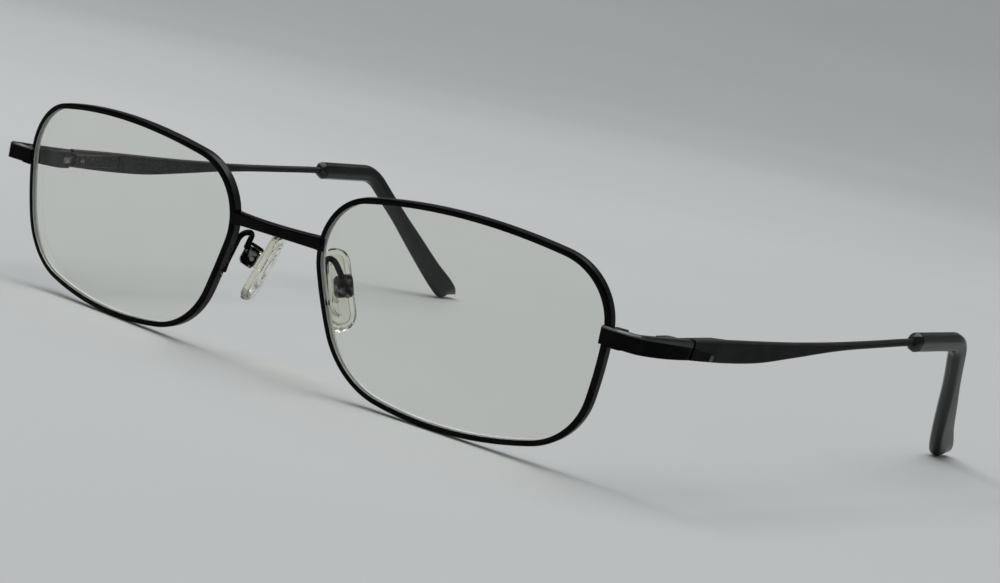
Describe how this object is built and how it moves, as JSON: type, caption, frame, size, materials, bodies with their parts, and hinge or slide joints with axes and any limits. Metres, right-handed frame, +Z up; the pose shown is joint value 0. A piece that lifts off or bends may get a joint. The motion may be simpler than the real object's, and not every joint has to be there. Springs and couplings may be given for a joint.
{
  "type": "rectangular eyeglasses",
  "caption": "Full-rim rectangular metal eyeglasses with clear lenses, folding spring-hinge temples, plastic ear tips and rocking nose pads on wire arms.",
  "frame": {"origin": "middle of the spectacles' footprint on a table, below the plane of symmetry, with both eyewires and both ear tips resting on the table", "axes": "+X towards the wearer's left, +Y from the front back to the ears, +Z up from the table"},
  "size_m": [0.146, 0.1372, 0.0353],
  "materials": {
    "polished_metal": "polished",
    "satin_metal": "satin",
    "spring_steel": "ground",
    "screw_steel": "turned",
    "lens_clear": "polished",
    "pad_silicone": "clear satin",
    "pad_insert": "clear",
    "tip_acetate": "semi-gloss"
  },
  "bodies": {
    "front": {"bridge": "polished_metal", "eyewire_left": "polished_metal", "lens_left": "lens_clear", "closing_block_upper_left": "satin_metal", "closing_block_lower_left": "satin_metal", "end_piece_left": "polished_metal", "hinge_lug_left": "satin_metal", "pad_box_left": "satin_metal", "pad_arm_left": "satin_metal", "eyewire_right": "polished_metal", "lens_right": "lens_clear", "closing_block_upper_right": "satin_metal", "closing_block_lower_right": "satin_metal", "end_piece_right": "polished_metal", "hinge_lug_right": "satin_metal", "pad_box_right": "satin_metal", "pad_arm_right": "satin_metal", "closing_screws": "screw_steel", "hinge_screws": "screw_steel", "pad_screws": "screw_steel"},
    "slider_left": {"hinge_slider_left": "spring_steel"},
    "temple_left": {"temple_blade_left": "satin_metal", "spring_box_left": "satin_metal", "spring_stop_left": "spring_steel", "stop_screw_left": "screw_steel", "hinge_spring_left": "spring_steel", "ear_tip_left": "tip_acetate"},
    "pad_left": {"nose_pad_left": "pad_silicone", "pad_core_left": "pad_insert"},
    "slider_right": {"hinge_slider_right": "spring_steel"},
    "temple_right": {"temple_blade_right": "satin_metal", "spring_box_right": "satin_metal", "spring_stop_right": "spring_steel", "stop_screw_right": "screw_steel", "hinge_spring_right": "spring_steel", "ear_tip_right": "tip_acetate"},
    "pad_right": {"nose_pad_right": "pad_silicone", "pad_core_right": "pad_insert"}
  },
  "joints": [
    {"name": "temple_fold_left", "type": "hinge", "parent": "front", "child": "slider_left", "pos_m": [0.06735, -0.05021, 0.02209], "axis": [0, -0.0256, 0.9997], "range_deg": [-6, 90]},
    {"name": "temple_fold_right", "type": "hinge", "parent": "front", "child": "slider_right", "pos_m": [-0.06735, -0.05021, 0.02209], "axis": [0, 0.0256, -0.9997], "range_deg": [-6, 84]},
    {"name": "temple_spring_left", "type": "slide", "parent": "slider_left", "child": "temple_left", "axis": [0.0227, 0.9994, 0.0256], "range_m": [0, 0.0009], "stiffness_N_per_m": 1500, "springref_m": -0.0006, "deforming": ["hinge_spring_left"]},
    {"name": "temple_spring_right", "type": "slide", "parent": "slider_right", "child": "temple_right", "axis": [-0.0227, 0.9994, 0.0256], "range_m": [0, 0.0009], "stiffness_N_per_m": 1500, "springref_m": -0.0006, "deforming": ["hinge_spring_right"]},
    {"name": "pad_rock_left", "type": "hinge", "parent": "front", "child": "pad_left", "pos_m": [0.01017, -0.05918, 0.01695], "axis": [-0.3746, -0.9182, -0.1285], "range_deg": [-8, 8]},
    {"name": "pad_rock_right", "type": "hinge", "parent": "front", "child": "pad_right", "pos_m": [-0.01017, -0.05918, 0.01695], "axis": [-0.3746, 0.9182, 0.1285], "range_deg": [-8, 8]}
  ]
}
